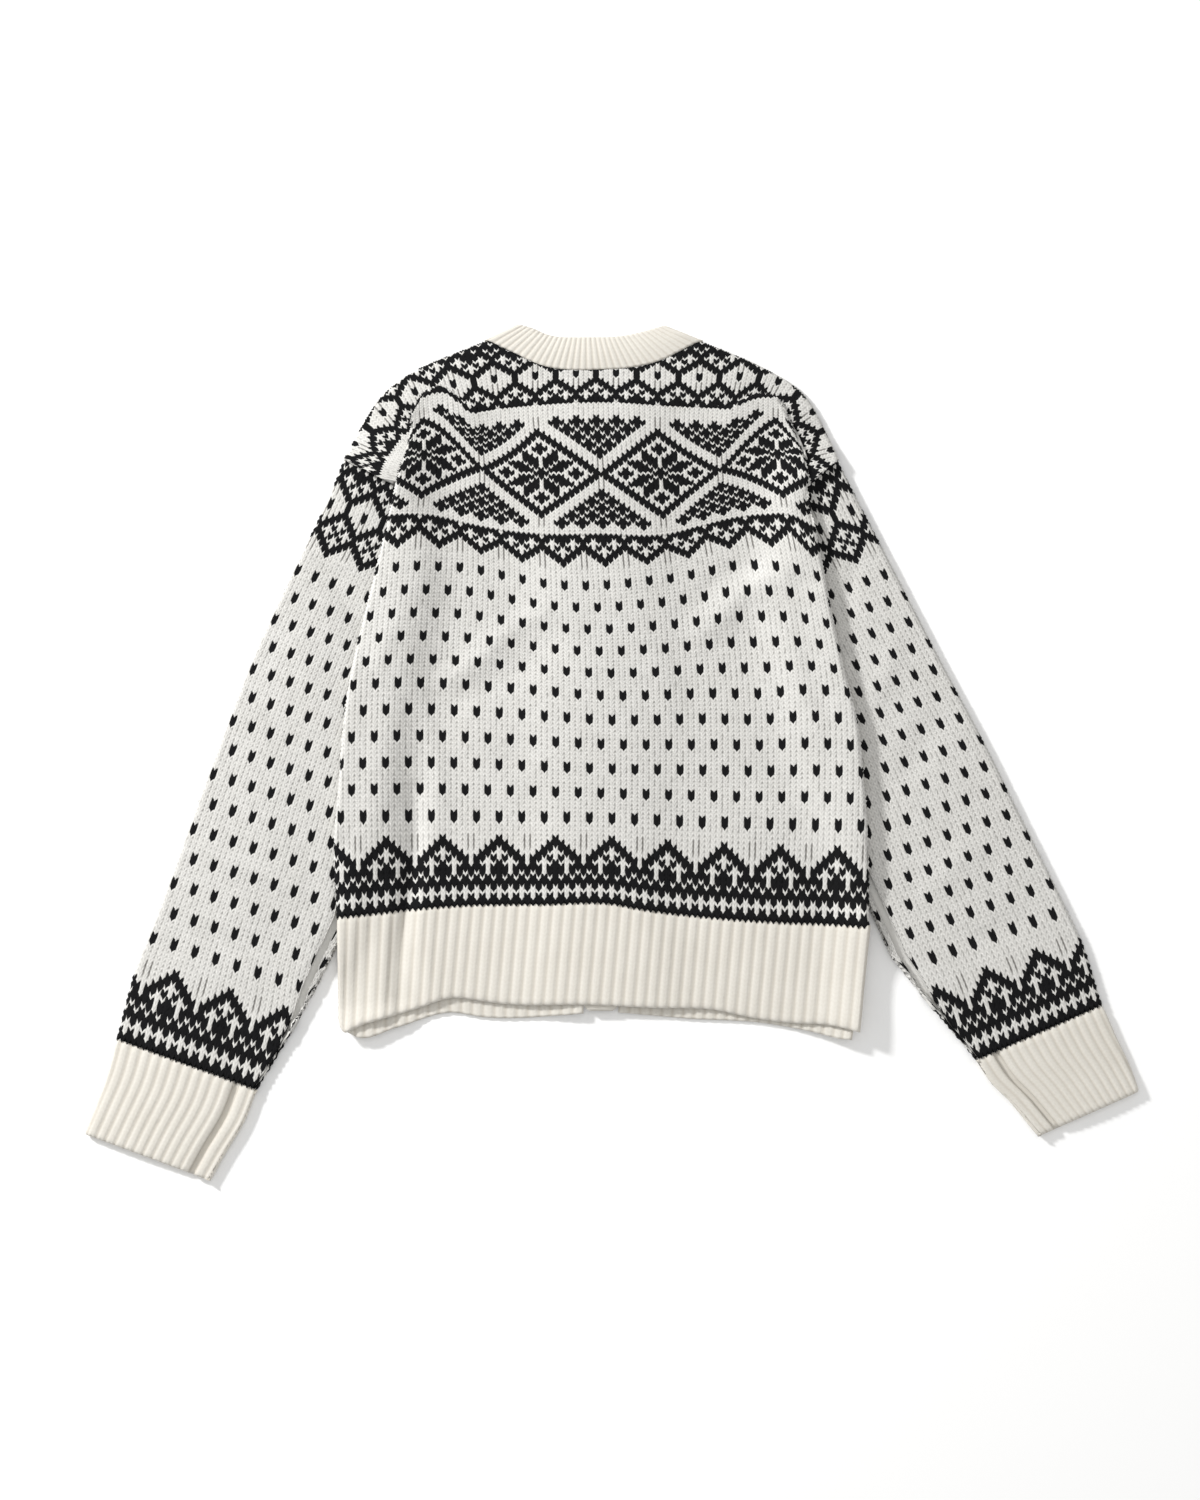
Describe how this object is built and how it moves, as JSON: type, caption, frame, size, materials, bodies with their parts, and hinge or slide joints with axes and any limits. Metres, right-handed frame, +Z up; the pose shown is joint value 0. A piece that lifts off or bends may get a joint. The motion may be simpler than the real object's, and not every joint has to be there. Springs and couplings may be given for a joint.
{
  "type": "nordic cardigan, laid flat on its front",
  "caption": "Chunky off-white and black Nordic patterned cardigan, laid flat with its back up and its sleeves slanting out, with ribbed neckband, hem and cuffs.",
  "frame": {"origin": "middle of the bounding box, on the surface that the cardigan lies on", "axes": "+Z up from the surface, +Y from the hem to the neck, +X to the wearer's right"},
  "size_m": [0.8657, 0.7027, 0.0164],
  "materials": {
    "patterned_knit": "matte",
    "cream_rib": "matte",
    "button": "satin"
  },
  "bodies": {
    "root": {"back": "patterned_knit", "front_left": "patterned_knit", "front_right": "patterned_knit", "sleeve_left": "patterned_knit", "sleeve_right": "patterned_knit", "back_hem_rib": "cream_rib", "front_left_hem_rib": "cream_rib", "front_right_hem_rib": "cream_rib", "cuff_left": "cream_rib", "cuff_right": "cream_rib", "neckband": "cream_rib", "button_band": "cream_rib", "buttonhole_band": "cream_rib", "button_1": "button", "button_2": "button", "button_3": "button", "button_4": "button", "button_5": "button", "button_6": "button"}
  },
  "joints": []
}
